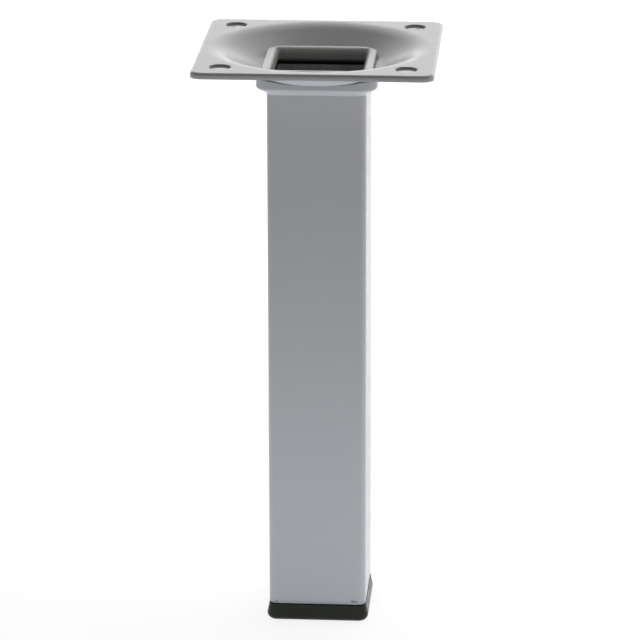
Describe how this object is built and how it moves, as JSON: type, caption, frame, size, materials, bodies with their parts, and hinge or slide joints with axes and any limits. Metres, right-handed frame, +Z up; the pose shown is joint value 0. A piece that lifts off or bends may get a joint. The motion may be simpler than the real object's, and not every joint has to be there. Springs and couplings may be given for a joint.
{
  "type": "table leg",
  "caption": "Short square steel furniture leg with a dished screw-on mounting plate swaged to its top and a rounded plastic foot cap pushed into its lower end.",
  "frame": {"origin": "centre of the foot's underside, on the floor", "axes": "+Z up along the tube towards the mounting plate, +X and +Y square to the tube's faces, the pictured front faces -Y"},
  "size_m": [0.06, 0.06, 0.15],
  "materials": {
    "silver_paint": "satin metallic silver paint",
    "black_plastic": "moulded, slightly satin"
  },
  "bodies": {
    "root": {"mounting_plate": "silver_paint", "leg_tube": "silver_paint", "foot_cap": "black_plastic"}
  },
  "joints": []
}
